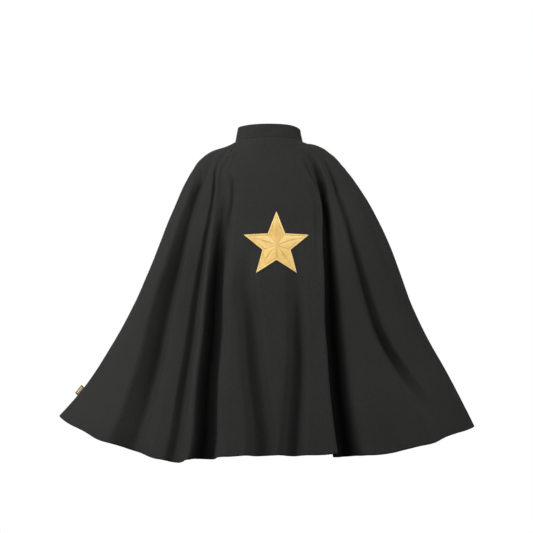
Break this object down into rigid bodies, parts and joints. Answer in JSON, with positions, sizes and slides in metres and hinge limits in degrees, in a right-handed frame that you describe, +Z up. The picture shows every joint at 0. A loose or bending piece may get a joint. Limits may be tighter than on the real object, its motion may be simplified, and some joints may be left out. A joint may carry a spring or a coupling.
{
  "type": "superhero cape",
  "caption": "Child's lined black costume cape with a stand collar, a hook-and-loop throat strap and a gold star on the back, hanging in deep folds.",
  "frame": {"origin": "centre of the neck opening, level with the neck seam at the nape", "axes": "+Z up, +Y towards the wearer's front where the collar closes, +X towards the wearer's right"},
  "size_m": [0.895, 0.3152, 0.692],
  "materials": {
    "shell_cloth": "matte charcoal-black plain-weave polyester, faint sheen on the fold crests",
    "lining_cloth": "smooth black lining taffeta, soft satin sheen",
    "interfacing": "off-white non-woven stiffener",
    "neck_tape": "black twill tape",
    "hook_nylon": "black nylon hook tape",
    "loop_nylon": "black brushed loop tape",
    "gold_thread": "glossy gold rayon satin-stitch embroidery",
    "label_ribbon": "black woven ribbon with a plain gold band",
    "label_satin": "off-white satin label tape, blank"
  },
  "bodies": {
    "cape": {"outer_shell": "shell_cloth", "lining": "lining_cloth", "collar_outer": "shell_cloth", "collar_interfacing": "interfacing", "collar_facing": "shell_cloth", "neck_tape": "neck_tape", "strap_root": "shell_cloth", "loop_patch": "loop_nylon", "emblem_star": "gold_thread", "emblem_border": "gold_thread", "emblem_backing": "interfacing"},
    "strap": {"closure_strap": "shell_cloth", "hook_patch": "hook_nylon"},
    "side_tab": {"woven_tab": "label_ribbon"},
    "label": {"care_label": "label_satin"}
  },
  "joints": [
    {"name": "strap_fold", "type": "hinge", "parent": "cape", "child": "strap", "pos_m": [0.0124, 0.06301, 0.00354], "axis": [0, 0.1691, -0.9856], "range_deg": [0, 150]},
    {"name": "side_tab_flex", "type": "hinge", "parent": "cape", "child": "side_tab", "pos_m": [-0.40526, 0.0068, -0.54067], "axis": [-0.6265, -0.0252, -0.779], "range_deg": [-50, 50], "stiffness_Nm_per_rad": 0.002},
    {"name": "label_flip", "type": "hinge", "parent": "cape", "child": "label", "pos_m": [0, -0.0637, -0.001], "axis": [1, 0, 0], "range_deg": [-5, 110]}
  ]
}
